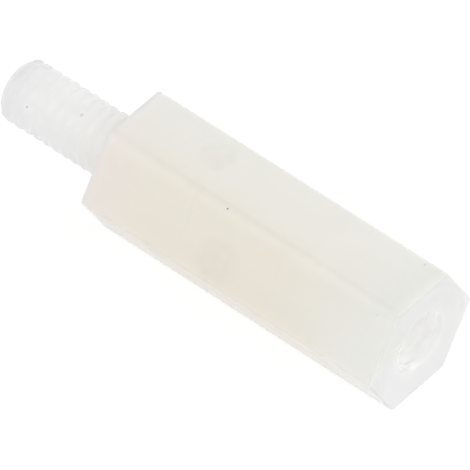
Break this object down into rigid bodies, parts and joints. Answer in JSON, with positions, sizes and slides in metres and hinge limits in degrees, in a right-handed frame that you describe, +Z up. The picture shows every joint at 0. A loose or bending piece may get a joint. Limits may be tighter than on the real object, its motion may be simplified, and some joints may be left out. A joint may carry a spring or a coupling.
{
  "type": "hex standoff",
  "caption": "Male-female hexagonal nylon standoff: a hexagonal spacer with a threaded stud at one end and a blind threaded socket at the other.",
  "frame": {"origin": "on the axis, in the plane of the shoulder that the stud rises from", "axes": "+X along the axis out of the threaded socket, the stud points to -X, +Z up with the part lying on one of its flats"},
  "size_m": [0.021, 0.0062, 0.0054],
  "materials": {
    "nylon": "natural unpigmented nylon, milky and slightly translucent, satin as moulded"
  },
  "bodies": {
    "root": {"standoff": "nylon"}
  },
  "joints": []
}
